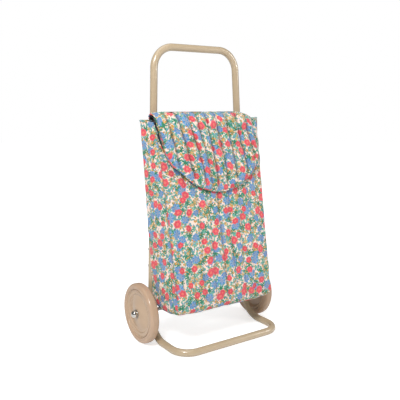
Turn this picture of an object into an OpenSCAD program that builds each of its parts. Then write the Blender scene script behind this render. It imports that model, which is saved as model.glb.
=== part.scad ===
// Toddler's toy shopping trolley: one bent steel tube frame, two disc wheels on a through axle,
// and a quilted cotton bag with a rounded flap. X is the width, Y runs from front to back and
// Z is up. The origin is on the floor, under the middle of the footprint. Sizes are millimetres.

/* [Frame] */
// Height of the whole trolley, from the floor to the top of the handle
overall_h = 526; // [440:1:640]
// Width across the tube centres at the handle
handle_w = 173; // [144:0.5:208]
// Width across the tube centres at the floor
base_w = 216.5; // [180:0.5:260]
// Length of the floor loop, from the uprights' line to the front bar's centre
base_len = 104.5; // [96:0.5:126]
// Backward lean of the uprights, in degrees
lean = 1.5; // [0:0.1:4]
// Outside diameter of the tube
tube_d = 12.7; // [10.5:0.1:15]
// Wall of the tube
tube_wall = 1.2; // [1:0.1:1.6]
// Bend radius at the handle's corners
handle_bend_r = 38; // [25:0.5:50]
// Bend radius at the floor loop's front corners
front_bend_r = 32; // [20:0.5:45]
// Bend radius from the uprights to the floor
rear_bend_r = 45; // [30:0.5:55]

/* [Frame joint] */
// Height of the joint between the handle tube and the base tube
joint_h = 150; // [130:1:175]
// Length of the plug that joins them
plug_len = 60; // [50:1:70]
// Distance of each joint screw from the joint
screw_pitch = 15; // [12:0.5:20]
// Diameter of a joint screw's shank
screw_d = 3.4; // [3:0.1:4]
// Diameter of a joint screw's head
screw_head_d = 7; // [6:0.1:8]
// Height of a joint screw's head
screw_head_h = 2; // [1.5:0.1:2.5]

/* [Wheels] */
// Outside diameter of a tyre
wheel_d = 107.6; // [89:0.1:130]
// Width of a tyre
tyre_w = 16.6; // [14:0.1:20]
// Radial height of a tyre
tyre_h = 11; // [9:0.1:13]
// Radius of a tyre's shoulders
tyre_round = 5; // [3:0.1:6]
// Gap between the tube and the tyre
wheel_gap = 7; // [6:0.1:10]
// Width of the stepped ring inside the tyre
ring_w = 8; // [6:0.1:10]
// Depth of the disc's face below the tyre's side
dish = 4.4; // [3.5:0.1:5]
// How far the disc's middle rises from its face
hub_rise = 5.5; // [4:0.1:7]
// Thickness of the wheel's disc
web_t = 4; // [3:0.1:5]
// Diameter of the wheel's hub
hub_d = 20; // [18:0.1:24]
// Diameter of the axle
axle_d = 6.4; // [6:0.1:7]
// Wall of the bush in the hub
bush_wall = 1.8; // [1.5:0.1:2.5]
// Thickness of an axle washer
washer_t = 1; // [0.8:0.1:1.5]
// Diameter of an axle washer
washer_d = 16; // [14:0.5:18]
// Diameter of the domed axle cap
cap_d = 13.4; // [12:0.1:16]
// Length of the cap's straight skirt
cap_skirt = 2; // [2:0.1:4]

/* [Bag] */
// Height of the bag's underside above the floor
bag_bottom = 70; // [66:1:85]
// Height of the bag's mouth above the floor
bag_mouth = 395; // [330:1:400]
// How far the bag's back stands out past each upright's centre at the mouth
top_overhang = 32; // [24:0.5:38]
// How far the bag's back stands out past each upright's centre at the bottom
bottom_overhang = 3; // [0:0.5:6]
// How much narrower the front is than the back at the mouth, on each side
front_inset_top = 13.5; // [8:0.5:18]
// How much narrower the front is than the back at the bottom, on each side
front_inset_bottom = 5.2; // [3:0.1:10]
// Depth of the bag at the mouth
depth_top = 29; // [26:0.5:40]
// Depth of the bag at the bottom
depth_bottom = 81; // [68:0.5:86]
// Thickness of the quilted outer
quilt_t = 4; // [3:0.1:5]
// Thickness of the lining
lining_t = 1; // [0.8:0.1:1.5]
// Thickness of the board in the bottom
board_t = 2.5; // [2:0.1:3]
// How far the board's edge is set in from the lining
board_inset = 14; // [8:0.5:20]
// Height of the bound edge round the mouth
binding_h = 2.5; // [2:0.1:3]
// Bottom of the tube sleeves on the bag's back
sleeve_bottom = 200; // [190:1:230]
// Distance from the mouth down to the sleeves' top
sleeve_drop = 12; // [8:1:30]
// Thickness of the sleeves' cloth
sleeve_t = 1.5; // [1.2:0.1:2]
// Width of a sleeve's sewn flange
flange_w = 27; // [22:0.5:30]

/* [Flap] */
// How far each side of the flap is set in from the bag's back at the mouth
flap_inset = 20.5; // [16:0.5:26]
// Thickness of the flap
flap_t = 3.5; // [3:0.1:4]
// How far the flap's fold stands in front of the mouth
flap_reach = 14; // [12:0.5:18]
// Height of the flap's arch over its two ends
flap_arch = 7; // [6:0.1:8]
// Height of the flap's hinge over the mouth
hinge_rise = 5; // [4.5:0.1:6]
// Length of the hanging front, from the fold to the rounded end
flap_drop = 130; // [118:1:160]
// How much more upright the flap hangs than the bag's front, in degrees
flap_hang = 3.5; // [3:0.1:4.5]
// Width of the flap's bound edge
binding_w = 1.5; // [1:0.1:2]
// Width of the hook and loop patches
patch_w = 30; // [20:1:50]
// Height of the hook and loop patches
patch_h = 18; // [12:1:22]
// Thickness of each patch
patch_t = 1.4; // [1:0.1:1.5]
// Height of the patches' middle above the floor
patch_z = 300; // [290:1:320]

/* [Hidden] */
$fn = 72;
// Clearance of the plug in the tubes
plug_fit = 0.05;
// Radial clearance of a screw in the tube's wall
screw_fit = 0.15;
// Radial clearance of the axle in the tubes and spacers
axle_fit = 0.1;
// Running clearance of the axle in a bush
run_fit = 0.05;
// End play between neighbours along the axle
end_play = 0.15;
// Space between the tube and the cloth, and between layers of cloth
cloth_gap = 0.3;
// Length that a cutter runs past a face
over = 1;
// Space left open at the flap's fold
fold_gap = 3;
// How much the tube's wall swells in a bend, and how far a straight laps into one
swell = 0.05;
lap = 0.8;
// How far the axle enters a cap
axle_in_cap = 5;

tube_r = tube_d / 2;
axle_r = axle_d / 2;
wheel_r = wheel_d / 2;
// The uprights' foot, in Y, set so that the footprint is centred on the origin
bend_drop = max(tube_r + rear_bend_r - wheel_r, 0);
axle_dy = sqrt(rear_bend_r * rear_bend_r - bend_drop * bend_drop) - rear_bend_r;
rear_y = (base_len + tube_r - wheel_r - axle_dy) / 2;
axle_y = rear_y + axle_dy;

function unit(v) = v / norm(v);
function mix(a, b, t) = a + (b - a) * t;
// The two ends of one upright's straight line, side -1 or 1
function foot(side) = [side * base_w / 2, rear_y, tube_r];
function head(side) = [side * handle_w / 2, rear_y + tan(lean) * (overall_h - tube_d), overall_h - tube_r];
function upright(side, z) = mix(foot(side), head(side), (z - tube_r) / (overall_h - tube_d));

side_tilt = atan((base_w - handle_w) / 2 / (overall_h - tube_d));
spacer_r = hub_d / 3;
tube_out_x = upright(1, wheel_r).x + tube_r / cos(side_tilt) + spacer_r * tan(side_tilt);
wheel_x = tube_out_x + wheel_gap + tyre_w / 2;
hub_in = tyre_w / 2 + 1;
hub_out = tyre_w / 2 - dish + hub_rise;
bush_r = axle_r + run_fit + bush_wall;
disc_r = wheel_r - tyre_h;
cap_x = wheel_x + hub_out + washer_t + 2 * end_play;
cap_len = cap_skirt + cap_d / 2;

// The bag's outline at a height: half widths and Y of its back and front
bag_off = tube_r + 2 * cloth_gap + sleeve_t;
shell_top = bag_mouth - binding_h;
function rise(z) = (z - bag_bottom) / (bag_mouth - bag_bottom);
function back_half(z) = mix(upright(1, bag_bottom).x + bottom_overhang,
    upright(1, bag_mouth).x + top_overhang, rise(z));
function front_half(z) = back_half(z) - mix(front_inset_bottom, front_inset_top, rise(z));
function back_y(z) = upright(1, z).y - bag_off;
function front_y(z) = mix(back_y(bag_bottom) - depth_bottom, back_y(bag_mouth) - depth_top, rise(z));
function bag_plan(z, inset) = [
    [-back_half(z) + inset, back_y(z) - inset],
    [back_half(z) - inset, back_y(z) - inset],
    [front_half(z) - inset, front_y(z) + inset],
    [-front_half(z) + inset, front_y(z) + inset]
];
lining_in = quilt_t + cloth_gap;
board_z = bag_bottom + quilt_t + cloth_gap;
lining_z = board_z + board_t + cloth_gap;
front_slope = atan((front_y(bag_mouth) - front_y(bag_bottom)) / (bag_mouth - bag_bottom));
flap_slope = front_slope - flap_hang;

// The flap: its hinge, its fold and the arch between them
flap_half = back_half(bag_mouth) - flap_inset;
hinge_y = back_y(bag_mouth) - cloth_gap - over;
fold_y = front_y(bag_mouth) - flap_reach;
hinge_z = bag_mouth + hinge_rise;
chord = hinge_y - fold_y;
arch_r = (chord * chord / 4 + flap_arch * flap_arch) / (2 * flap_arch);
arch_deg = asin(chord / 2 / arch_r);
arch_c = [0, fold_y + chord / 2, hinge_z + flap_arch - arch_r];

// Puts children in the frame with origin o and axes x, y and z
module placed(o, x, y, z) {
    multmatrix([
        [x.x, y.x, z.x, o.x],
        [x.y, y.y, z.y, o.y],
        [x.z, y.z, z.z, o.z],
        [0, 0, 0, 1]
    ]) children();
}

// Children on an upright at a height: local Z along the tube, local Y to the back
module on_upright(side, z) {
    along = unit(head(side) - foot(side));
    across = unit(cross([0, 1, 0], along));
    placed(upright(side, z), across, cross(along, across), along) children();
}

// Children at a wheel's centre, with local Z pointing outwards along the axle
module on_axle(side, x) {
    translate([side * x, axle_y, wheel_r]) rotate([0, side * 90, 0]) children();
}

module ring(ro, ri) {
    difference() {
        circle(r = ro);
        circle(r = ri);
    }
}

// A straight piece of tube from a to b
module tube_bar(a, b, ro, ri) {
    along = unit(b - a);
    helper = abs(along.y) > 0.9 ? [0, 0, 1] : [0, 1, 0];
    across = unit(cross(helper, along));
    placed(a, across, cross(along, across), along)
        linear_extrude(norm(b - a)) ring(ro, ri);
}

// The bend at corner p between the lines to a and b
module tube_bend(a, p, b, bend_r, ro, ri) {
    to_a = unit(a - p);
    to_b = unit(b - p);
    inside = acos(to_a * to_b);
    centre = p + unit(to_a + to_b) * bend_r / sin(inside / 2);
    start = unit(p + to_a * bend_r / tan(inside / 2) - centre);
    end = p + to_b * bend_r / tan(inside / 2) - centre;
    normal = unit(cross(start, end));
    placed(centre, start, cross(normal, start), normal)
        rotate_extrude(angle = 180 - inside) translate([bend_r, 0]) ring(ro + swell, ri - swell);
}

function corner_trim(a, p, b, bend_r) = bend_r <= 0 ? 0 :
    bend_r / tan(acos(unit(a - p) * unit(b - p)) / 2);

// A bent tube through points p, with bend radius r at each. The straights lap into the bends.
module bent_tube(p, r, ro, ri) {
    last = len(p) - 1;
    trims = [for (i = [0:last]) (i == 0 || i == last) ? 0 :
        corner_trim(p[i - 1], p[i], p[i + 1], r[i]) - lap];
    for (i = [1:last]) {
        along = unit(p[i] - p[i - 1]);
        tube_bar(p[i - 1] + along * trims[i - 1], p[i] - along * trims[i], ro, ri);
    }
    for (i = [1:last - 1]) tube_bend(p[i - 1], p[i], p[i + 1], r[i], ro, ri);
}

module screw_places(side) {
    for (dz = [-screw_pitch, screw_pitch])
        on_upright(side, joint_h) translate([0, 0, dz]) rotate([-90, 0, 0]) children();
}

module handle_tube() {
    path = [upright(-1, joint_h), head(-1), head(1), upright(1, joint_h)];
    color("tan") difference() {
        bent_tube(path, [0, handle_bend_r, handle_bend_r, 0], tube_r, tube_r - tube_wall);
        for (side = [-1, 1]) screw_places(side) cylinder(d = screw_d + 2 * screw_fit, h = tube_d);
    }
}

module base_tube() {
    front_y = rear_y - base_len;
    path = [upright(-1, joint_h), foot(-1), [-base_w / 2, front_y, tube_r],
        [base_w / 2, front_y, tube_r], foot(1), upright(1, joint_h)];
    color("tan") difference() {
        bent_tube(path, [0, rear_bend_r, front_bend_r, front_bend_r, rear_bend_r, 0],
            tube_r, tube_r - tube_wall);
        for (side = [-1, 1]) screw_places(side) cylinder(d = screw_d + 2 * screw_fit, h = tube_d);
        on_axle(1, -base_w) cylinder(r = axle_r + axle_fit, h = 2 * base_w);
    }
}

module joint_plug(side) {
    color("dimgray") difference() {
        on_upright(side, joint_h) translate([0, 0, -plug_len / 2])
            cylinder(r = tube_r - tube_wall - plug_fit, h = plug_len);
        screw_places(side) cylinder(d = screw_d, h = tube_d);
    }
}
module left_joint_plug() joint_plug(-1);
module right_joint_plug() joint_plug(1);

module joint_screws() {
    color("silver") for (side = [-1, 1]) screw_places(side) {
        translate([0, 0, tube_r + plug_fit]) cylinder(d = screw_head_d, h = screw_head_h);
        translate([0, 0, screw_d / 2]) cylinder(d = screw_d, h = tube_r + plug_fit);
    }
}

module axle() {
    half = cap_x + axle_in_cap;
    color("silver") on_axle(1, -half) cylinder(r = axle_r, h = 2 * half);
}

module spacer(side) {
    from = tube_out_x + 2 * end_play;
    to = wheel_x - hub_in - washer_t - 2 * end_play;
    color("black") on_axle(side, from) linear_extrude(to - from) ring(spacer_r, axle_r + axle_fit);
}
module left_spacer() spacer(-1);
module right_spacer() spacer(1);

module axle_washers() {
    inner = wheel_x - hub_in - washer_t - end_play;
    outer = wheel_x + hub_out + end_play;
    color("dimgray") for (side = [-1, 1], x = [inner, outer])
        on_axle(side, x) linear_extrude(washer_t) ring(washer_d / 2, axle_r + axle_fit);
}

module axle_cap(side) {
    color("gainsboro") on_axle(side, cap_x) difference() {
        rotate_extrude() intersection() {
            union() {
                translate([0, cap_skirt]) circle(d = cap_d);
                square([cap_d / 2, cap_skirt]);
            }
            square([cap_d, cap_len]);
        }
        translate([0, 0, -over]) cylinder(r = axle_r, h = axle_in_cap + over);
    }
}
module left_axle_cap() axle_cap(-1);
module right_axle_cap() axle_cap(1);

// A tyre with round shoulders
module tyre(side) {
    half = tyre_w / 2;
    color("burlywood") on_axle(side, wheel_x) rotate_extrude() {
        translate([disc_r, -half]) square([tyre_h - tyre_round, tyre_w]);
        translate([disc_r, tyre_round - half]) square([tyre_h, tyre_w - 2 * tyre_round]);
        for (s = [-1, 1]) translate([wheel_r - tyre_round, s * (half - tyre_round)])
            circle(r = tyre_round);
    }
}
module left_tyre() tyre(-1);
module right_tyre() tyre(1);

// The disc: a rim, a stepped ring, a thin web that rises to the middle, and a hub
module wheel_disc(side) {
    half = tyre_w / 2;
    face = half - dish;
    ring_r = disc_r - ring_w;
    hub_web = mix(hub_out, face, (hub_d / 2 - bush_r) / (ring_r - bush_r)) - web_t;
    color("burlywood") on_axle(side, wheel_x) rotate_extrude() polygon([
        [bush_r, -hub_in], [hub_d / 2, -hub_in], [hub_d / 2, hub_web],
        [ring_r, face - web_t], [disc_r - ring_w / 2, 1 - half], [disc_r, 1 - half],
        [disc_r, half - 1], [disc_r - ring_w / 3, half - 1],
        [disc_r - ring_w / 3, half - dish / 2], [ring_r, half - dish / 2 - 1],
        [ring_r, face], [bush_r, hub_out]
    ]);
}
module left_wheel_disc() wheel_disc(-1);
module right_wheel_disc() wheel_disc(1);

module bush(side) {
    color("white") on_axle(side, wheel_x - hub_in)
        linear_extrude(hub_in + hub_out) ring(bush_r, axle_r + run_fit);
}
module left_bush() bush(-1);
module right_bush() bush(1);

// A block with the bag's outline between two heights, set in all round. Its gussets are twisted,
// so each is two triangles that meet from the front's foot to the back's top.
module bag_block(z0, z1, inset) {
    corners = concat([for (p = bag_plan(z0, inset)) [p.x, p.y, z0]],
        [for (p = bag_plan(z1, inset)) [p.x, p.y, z1]]);
    polyhedron(corners, [
        [3, 2, 1, 0], [4, 5, 6, 7], [1, 5, 4, 0], [3, 7, 6, 2],
        [2, 6, 5], [2, 5, 1], [0, 4, 3], [4, 7, 3]
    ]);
}

module bag_shell() {
    color("salmon") difference() {
        bag_block(bag_bottom, shell_top, 0);
        bag_block(bag_bottom + quilt_t, shell_top + over, quilt_t);
    }
}

module bag_lining() {
    color("midnightblue") difference() {
        bag_block(lining_z, shell_top, lining_in);
        bag_block(lining_z + lining_t, shell_top + over, lining_in + lining_t);
    }
}

module base_board() {
    color("gray") bag_block(board_z, board_z + board_t, lining_in + board_inset);
}

module mouth_binding() {
    low = shell_top + cloth_gap / 3;
    color("indianred") difference() {
        bag_block(low, bag_mouth, 0);
        bag_block(low - over, bag_mouth + over, lining_in + lining_t);
    }
}

// A cloth tunnel round an upright, with the flange that is sewn to the bag
module tube_sleeve(side) {
    ri = tube_r + cloth_gap;
    ro = ri + sleeve_t;
    length = bag_mouth - sleeve_drop - sleeve_bottom;
    proud = 0.1;
    color("salmon") on_upright(side, sleeve_bottom) difference() {
        union() {
            cylinder(r = ro, h = length);
            translate([-flange_w / 2, proud - ro, 0]) cube([flange_w, sleeve_t - 2 * proud, length]);
        }
        translate([0, 0, -over]) cylinder(r = ri, h = length + 2 * over);
    }
}
module left_tube_sleeve() tube_sleeve(-1);
module right_tube_sleeve() tube_sleeve(1);

// The patch on the bag's front, in the slope of the front
module bag_patch() {
    color("tan") translate([0, front_y(patch_z) - cloth_gap, patch_z]) rotate([-front_slope, 0, 0])
        translate([-patch_w / 2, -patch_t, -patch_h / 2]) cube([patch_w, patch_t, patch_h]);
}

// A sector of the flap's arch between two widths
module arch(x0, x1, outer_r, inner_r) {
    translate([x0, arch_c.y, arch_c.z]) rotate([90, 0, 90]) rotate([0, 0, 90 - arch_deg])
        rotate_extrude_sector(outer_r, inner_r, x1 - x0, 2 * arch_deg);
}
module rotate_extrude_sector(outer_r, inner_r, length, angle) {
    rotate_extrude(angle = angle) translate([inner_r, 0]) square([outer_r - inner_r, length]);
}

module flap_top() {
    color("salmon") arch(-flap_half, flap_half, arch_r, arch_r - flap_t);
}

module flap_top_binding() {
    color("indianred") for (x = [-flap_half - binding_w, flap_half])
        arch(x, x + binding_w, arch_r, arch_r - flap_t);
}

// Children in the hanging front's plane: local Y runs up the flap, local Z out to the front
module on_flap() {
    translate([0, fold_y, hinge_z]) rotate([90 - flap_slope, 0, 0]) children();
}

// The flap's outline with a margin added all round its free edge
module flap_outline(margin) {
    straight = max(flap_drop - flap_half, fold_gap + over);
    translate([-flap_half - margin, -straight]) square([2 * (flap_half + margin), straight - fold_gap]);
    translate([0, -straight]) intersection() {
        circle(r = flap_half + margin, $fn = 180);
        translate([-2 * flap_half, -2 * flap_half]) square([4 * flap_half, 2 * flap_half]);
    }
}

module flap_front() {
    color("salmon") on_flap() translate([0, 0, -flap_t]) linear_extrude(flap_t) flap_outline(0);
}

module flap_binding() {
    color("indianred") on_flap() translate([0, 0, -flap_t]) linear_extrude(flap_t) difference() {
        flap_outline(binding_w);
        flap_outline(0);
    }
}

// The patch on the flap's back, facing the one on the bag
module flap_patch() {
    down = (hinge_z - patch_z) / cos(flap_slope);
    color("tan") on_flap() translate([-patch_w / 2, -down - patch_h / 2, -flap_t - cloth_gap - patch_t])
        cube([patch_w, patch_h, patch_t]);
}

handle_tube();
base_tube();
left_joint_plug();
right_joint_plug();
joint_screws();
axle();
left_spacer();
right_spacer();
axle_washers();
left_axle_cap();
right_axle_cap();
left_tyre();
left_wheel_disc();
left_bush();
right_tyre();
right_wheel_disc();
right_bush();
bag_shell();
bag_lining();
base_board();
mouth_binding();
left_tube_sleeve();
right_tube_sleeve();
bag_patch();
flap_top();
flap_top_binding();
flap_front();
flap_binding();
flap_patch();
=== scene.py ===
# %% [markdown]
# # A toy shopping trolley in quilted cotton
# The trolley is one bent steel tube frame on two disc wheels, with a quilted bag hung on its
# uprights. The steel parts, the axle and its small fittings are finished solids already, so they
# come in as they are and only get their finishes here. What is soft, and what needs a moulder's
# radius, is modelled here in the same frame, in metres, with the floor at zero height.

# %% Load the finished solids
import math
import random

import bpy
import numpy as np
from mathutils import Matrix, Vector


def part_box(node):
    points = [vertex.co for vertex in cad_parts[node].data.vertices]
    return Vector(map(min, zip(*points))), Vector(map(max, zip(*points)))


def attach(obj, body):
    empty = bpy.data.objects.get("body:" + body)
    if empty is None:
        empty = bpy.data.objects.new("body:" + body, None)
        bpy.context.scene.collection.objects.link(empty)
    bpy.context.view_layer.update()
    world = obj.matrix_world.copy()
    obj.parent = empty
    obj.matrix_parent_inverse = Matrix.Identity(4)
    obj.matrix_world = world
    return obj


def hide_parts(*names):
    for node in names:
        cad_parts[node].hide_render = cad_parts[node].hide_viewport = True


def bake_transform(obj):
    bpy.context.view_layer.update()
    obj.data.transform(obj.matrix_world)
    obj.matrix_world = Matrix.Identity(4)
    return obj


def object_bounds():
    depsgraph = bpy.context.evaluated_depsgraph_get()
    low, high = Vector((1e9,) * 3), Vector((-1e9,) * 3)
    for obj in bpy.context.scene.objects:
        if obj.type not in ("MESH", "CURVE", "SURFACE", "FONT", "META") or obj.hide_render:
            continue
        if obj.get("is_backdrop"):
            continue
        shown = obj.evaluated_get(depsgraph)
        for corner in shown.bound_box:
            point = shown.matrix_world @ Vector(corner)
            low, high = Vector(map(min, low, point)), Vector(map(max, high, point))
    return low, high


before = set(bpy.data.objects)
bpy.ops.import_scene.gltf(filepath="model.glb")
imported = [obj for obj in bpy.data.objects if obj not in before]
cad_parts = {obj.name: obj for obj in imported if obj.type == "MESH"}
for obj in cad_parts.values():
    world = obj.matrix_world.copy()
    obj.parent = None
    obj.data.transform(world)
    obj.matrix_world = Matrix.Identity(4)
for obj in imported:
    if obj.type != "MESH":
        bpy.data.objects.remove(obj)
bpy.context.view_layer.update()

mm = 0.001

# %% [markdown]
# ## Camera, floor and lights
# A product like this is shown on a white floor in soft, even light, a little above its middle
# and turned so that one gusset and one wheel show. A 50 mm lens a metre away keeps the natural
# perspective. The biggest soft light stands to the left, so that it rakes over the quilting. The
# floor and the world are white to the camera but give only a part of that as light, so that the
# shadows stay soft without going flat.

# %% Camera
bpy.ops.object.select_all(action="DESELECT")
bpy.ops.object.camera_add(
    location=(-0.57979, -0.82054, 0.41689),
    rotation=(math.radians(80.57), 0, math.radians(-34.29)),
)
camera = bpy.context.object
camera.data.lens = 50.5
camera.data.sensor_width = 36
bpy.context.scene.camera = camera
bpy.context.scene.view_settings.view_transform = "Standard"
print("camera at", [round(c, 3) for c in camera.location])


# %% [markdown]
# ## Two helpers for finishes
# Colours are picked as sRGB hex values, which is how a screen shows them, and the shader wants
# them linear. Every shader node is added by the same small function, which sets it up and links
# its inputs, so that a finish reads as a list of what it is made of.

# %% Colour and node helpers
def srgb(text):
    """An sRGB hex colour as the linear colour that a shader takes."""
    parts = [int(text[i : i + 2], 16) / 255 for i in (0, 2, 4)]
    return [c / 12.92 if c <= 0.04045 else ((c + 0.055) / 1.055) ** 2.4 for c in parts] + [1.0]


def add(tree, kind, inputs=None, out=0, **settings):
    """Adds a node with its settings and its inputs set or linked, and returns one output."""
    node = tree.nodes.new("ShaderNode" + kind)
    for name, value in settings.items():
        setattr(node, name, value)
    for key, value in (inputs or {}).items():
        if isinstance(value, bpy.types.NodeSocket):
            tree.links.new(value, node.inputs[key])
        else:
            node.inputs[key].default_value = value
    return node.outputs[out] if node.outputs else node


def start_finish(name):
    """A new material with an empty tree."""
    material = bpy.data.materials.new(name)
    material.use_nodes = True
    material.node_tree.nodes.clear()
    return material, material.node_tree


def end_finish(tree, **shader):
    """Adds the surface shader from its socket values, and the output."""
    inputs = {name.replace("_", " "): value for name, value in shader.items()}
    add(tree, "OutputMaterial", {"Surface": add(tree, "BsdfPrincipled", inputs)})


# %% Floor and lights
floor_paper, tree = start_finish("lit white acrylic floor")
seen = add(tree, "LightPath", out="Is Camera Ray")
place = add(tree, "TexCoord", out="Object")
away = add(tree, "VectorMath", {0: place}, out="Value", operation="LENGTH")
full = add(
    tree, "MapRange",
    {"Value": away, "From Min": 0.25, "From Max": 0.9, "To Min": 0.6, "To Max": 0.84},
)
glow = add(tree, "MapRange", {"Value": seen, "To Min": 0.1, "To Max": full})
grain = add(tree, "TexNoise", {"Vector": place, "Scale": 6.0})
paper = add(tree, "Mix", {0: grain, 6: srgb("E9E9E9"), 7: srgb("EFEFEF")}, out=2, data_type="RGBA")
end_finish(
    tree, Base_Color=paper, Roughness=0.9, Emission_Color=srgb("FFFFFF"), Emission_Strength=glow,
)
bpy.ops.object.select_all(action="DESELECT")
bpy.ops.mesh.primitive_circle_add(vertices=96, radius=6, fill_type="NGON")
floor = bpy.context.object
floor.name = "floor"
floor.data.materials.append(floor_paper)
floor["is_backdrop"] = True

FILL = 0.33
world = bpy.data.worlds.new("white studio")
bpy.context.scene.world = world
world.use_nodes = True
tree = world.node_tree
seen = add(tree, "LightPath", out="Is Camera Ray")
mirrored = add(tree, "LightPath", out="Is Glossy Ray")
fill = add(tree, "MapRange", {"Value": mirrored, "To Min": FILL, "To Max": 0.45 * FILL})
strength = add(tree, "MapRange", {"Value": seen, "To Min": fill, "To Max": 1.0})
tree.nodes["Background"].inputs["Color"].default_value = (1, 1, 1, 1)
tree.links.new(strength, tree.nodes["Background"].inputs["Strength"])


def soft_light(name, place, target, size, watts):
    """A square area light that looks from its place at a target."""
    bpy.ops.object.light_add(type="AREA", location=place)
    light = bpy.context.object
    light.name = name
    light.data.size = size
    light.data.energy = watts
    light.rotation_euler = (Vector(target) - Vector(place)).to_track_quat("-Z", "Y").to_euler()


soft_light("key light", (-1.05, -0.85, 1.4), (0, 0, 0.25), 0.4, 22)
soft_light("side light", (1.2, -1.0, 0.8), (0, 0, 0.2), 0.35, 7)
soft_light("top light", (-0.2, 0.1, 1.9), (0, 0, 0), 1.2, 6.5)

# %% [markdown]
# ## Powder-coated steel tube
# The frame is steel tube under a beige satin powder coat. The powder melts into a skin with a
# very fine orange peel, about 0.8 mm from bump to bump, which softens its highlight. The colour
# drifts a little where the coat is thicker.

# %% Powder coat
powder_coat, tree = start_finish("beige satin powder coat on steel")
place = add(tree, "TexCoord", out="Object")
drift = add(tree, "TexNoise", {"Vector": place, "Scale": 25.0, "Detail": 3.0})
colour = add(tree, "Mix", {0: drift, 6: srgb("B8A384"), 7: srgb("C6B294")}, out=2, data_type="RGBA")
peel = add(tree, "TexNoise", {"Vector": place, "Scale": 1 / (0.8 * mm), "Detail": 2.0})
bump = add(tree, "Bump", {"Strength": 0.12, "Distance": 0.1 * mm, "Height": peel})
rough = add(tree, "MapRange", {"Value": drift, "To Min": 0.3, "To Max": 0.4})
end_finish(tree, Base_Color=colour, Roughness=rough, Normal=bump, Coat_Weight=1.0, Coat_Roughness=0.12)

# %% [markdown]
# ## Moulded wheel plastic
# Tyre and disc are the same pinkish beige plastic, moulded glossy: the mould's polish makes
# long sharp highlights, broken only by a slow waviness as the thick parts shrink. The tyre is
# the softer grade and a touch rougher.

# %% Wheel plastic
def wheel_plastic(name, dark, light, roughness):
    """Glossy moulded plastic with a slow drift in colour and a faint shrink wave."""
    material, tree = start_finish(name)
    place = add(tree, "TexCoord", out="Object")
    drift = add(tree, "TexNoise", {"Vector": place, "Scale": 18.0, "Detail": 2.0})
    colour = add(tree, "Mix", {0: drift, 6: srgb(dark), 7: srgb(light)}, out=2, data_type="RGBA")
    wave = add(tree, "TexNoise", {"Vector": place, "Scale": 1 / (14 * mm), "Detail": 1.0})
    fine = add(tree, "TexNoise", {"Vector": place, "Scale": 1 / (1.1 * mm), "Detail": 2.0})
    relief = add(tree, "Math", {0: fine, 1: 0.03, 2: wave}, operation="MULTIPLY_ADD")
    bump = add(tree, "Bump", {"Strength": 0.25, "Distance": 0.5 * mm, "Height": relief})
    worn = add(tree, "MapRange", {"Value": fine, "To Min": roughness, "To Max": roughness + 0.08})
    end_finish(tree, Base_Color=colour, Roughness=worn, Normal=bump)
    return material


disc_plastic = wheel_plastic("glossy beige moulded disc", "BEA286", "C7AC91", 0.12)
tyre_plastic = wheel_plastic("glossy beige soft tyre", "BC9E84", "C4A78D", 0.16)
print("plastics:", disc_plastic.name, "and", tyre_plastic.name)

# %% [markdown]
# ## Small metal and nylon fittings
# The domed caps are polished chrome with hair-fine scratches. Axle, washers and screws are
# bright zinc, which is duller and cloudy. The bushes are amber nylon, the spacers and plugs a
# dark one, all with the matt skin of a blasted mould. The board in the bag is grey pressed card.

# %% Metals
def metal(name, dark, light, roughness, cloud):
    """A metal with fine drawn scratches and a cloudy roughness. cloud is its size in metres."""
    material, tree = start_finish(name)
    place = add(tree, "TexCoord", out="Object")
    clouds = add(tree, "TexNoise", {"Vector": place, "Scale": 1 / cloud, "Detail": 4.0})
    long = add(tree, "Mapping", {"Vector": place, "Scale": (1 / (8 * mm), 1 / (0.3 * mm), 1 / (0.3 * mm))})
    drawn = add(tree, "TexNoise", {"Vector": long, "Scale": 1.0, "Detail": 2.0})
    colour = add(tree, "Mix", {0: clouds, 6: srgb(dark), 7: srgb(light)}, out=2, data_type="RGBA")
    rough = add(tree, "MapRange", {"Value": clouds, "To Min": roughness * 0.7, "To Max": roughness * 1.4})
    bump = add(tree, "Bump", {"Strength": 0.06, "Distance": 0.05 * mm, "Height": drawn})
    end_finish(tree, Base_Color=colour, Metallic=1.0, Roughness=rough, Normal=bump)
    return material


chrome = metal("polished chrome plate", "C9C7C2", "DEDCD8", 0.12, 6 * mm)
zinc = metal("bright zinc plate", "9C9C9A", "B4B4B0", 0.34, 2 * mm)


# %% Nylon and board
def matt_moulding(name, dark, light, grit, roughness):
    """A matt moulded or pressed surface. grit is the size of its texture in metres."""
    material, tree = start_finish(name)
    place = add(tree, "TexCoord", out="Object")
    grain = add(tree, "TexNoise", {"Vector": place, "Scale": 1 / grit, "Detail": 3.0})
    colour = add(tree, "Mix", {0: grain, 6: srgb(dark), 7: srgb(light)}, out=2, data_type="RGBA")
    bump = add(tree, "Bump", {"Strength": 0.2, "Distance": 0.1 * mm, "Height": grain})
    end_finish(tree, Base_Color=colour, Roughness=roughness, Normal=bump)
    return material


amber_nylon = matt_moulding("amber moulded nylon", "8A5A2C", "9C6A38", 0.9 * mm, 0.45)
dark_nylon = matt_moulding("dark moulded nylon", "2A2623", "353029", 0.9 * mm, 0.5)
card = matt_moulding("grey pressed card", "837C70", "96907F", 1.5 * mm, 0.85)
print("small finishes:", chrome.name, zinc.name, amber_nylon.name, dark_nylon.name, card.name)

# %% [markdown]
# ## Printed cotton
# The bag's cloth is cotton poplin with a small all-over flower print: coral and blue flowers
# about 14 mm across among teal leaves, dark green sprigs, ochre buds and pale blue specks, on
# cream. A print follows its cloth, so it is drawn in each piece's own cloth map, laid out in
# metres, and cut and sewn pieces don't match at their seams. Each kind of motif sits in the
# cells of a Voronoi pattern: the way from the cell's centre, turned by the cell's own random
# angle, gives petals by a cosine round that centre. The plain weave is really 0.3 mm, too fine
# to show, and is drawn three times as coarse. Where the quilting is stitched down the cloth is in
# shade, and each quilted piece carries a number for that, which the finish darkens by.

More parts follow.
